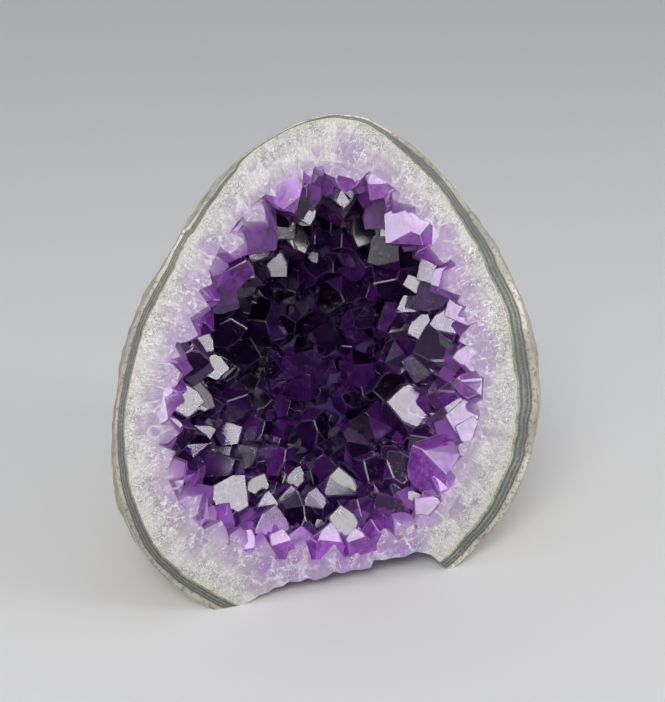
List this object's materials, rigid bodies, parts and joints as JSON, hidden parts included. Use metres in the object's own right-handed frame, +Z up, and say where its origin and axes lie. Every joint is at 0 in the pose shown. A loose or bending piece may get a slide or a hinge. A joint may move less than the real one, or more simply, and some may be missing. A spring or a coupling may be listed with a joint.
{
  "type": "geode half",
  "caption": "Sawn geode half standing on a flat-cut base, its polished leaning face open to a deep hollow lined with amethyst points.",
  "frame": {"origin": "centre of the bounding box in X and Y, on the sawn base in Z", "axes": "+Z up, -Y the way the cut face and the mouth of the hollow look, +X to the right seen from the front"},
  "size_m": [0.1916, 0.1382, 0.1867],
  "materials": {
    "stone": "rough tan and grey-green outside, polished white and green-banded quartz on the cut",
    "amethyst": "glassy natural crystal faces, lilac at the rim to deep violet in the hollow"
  },
  "bodies": {
    "root": {"stone_half": "stone", "crystal_crust": "amethyst"}
  },
  "joints": []
}
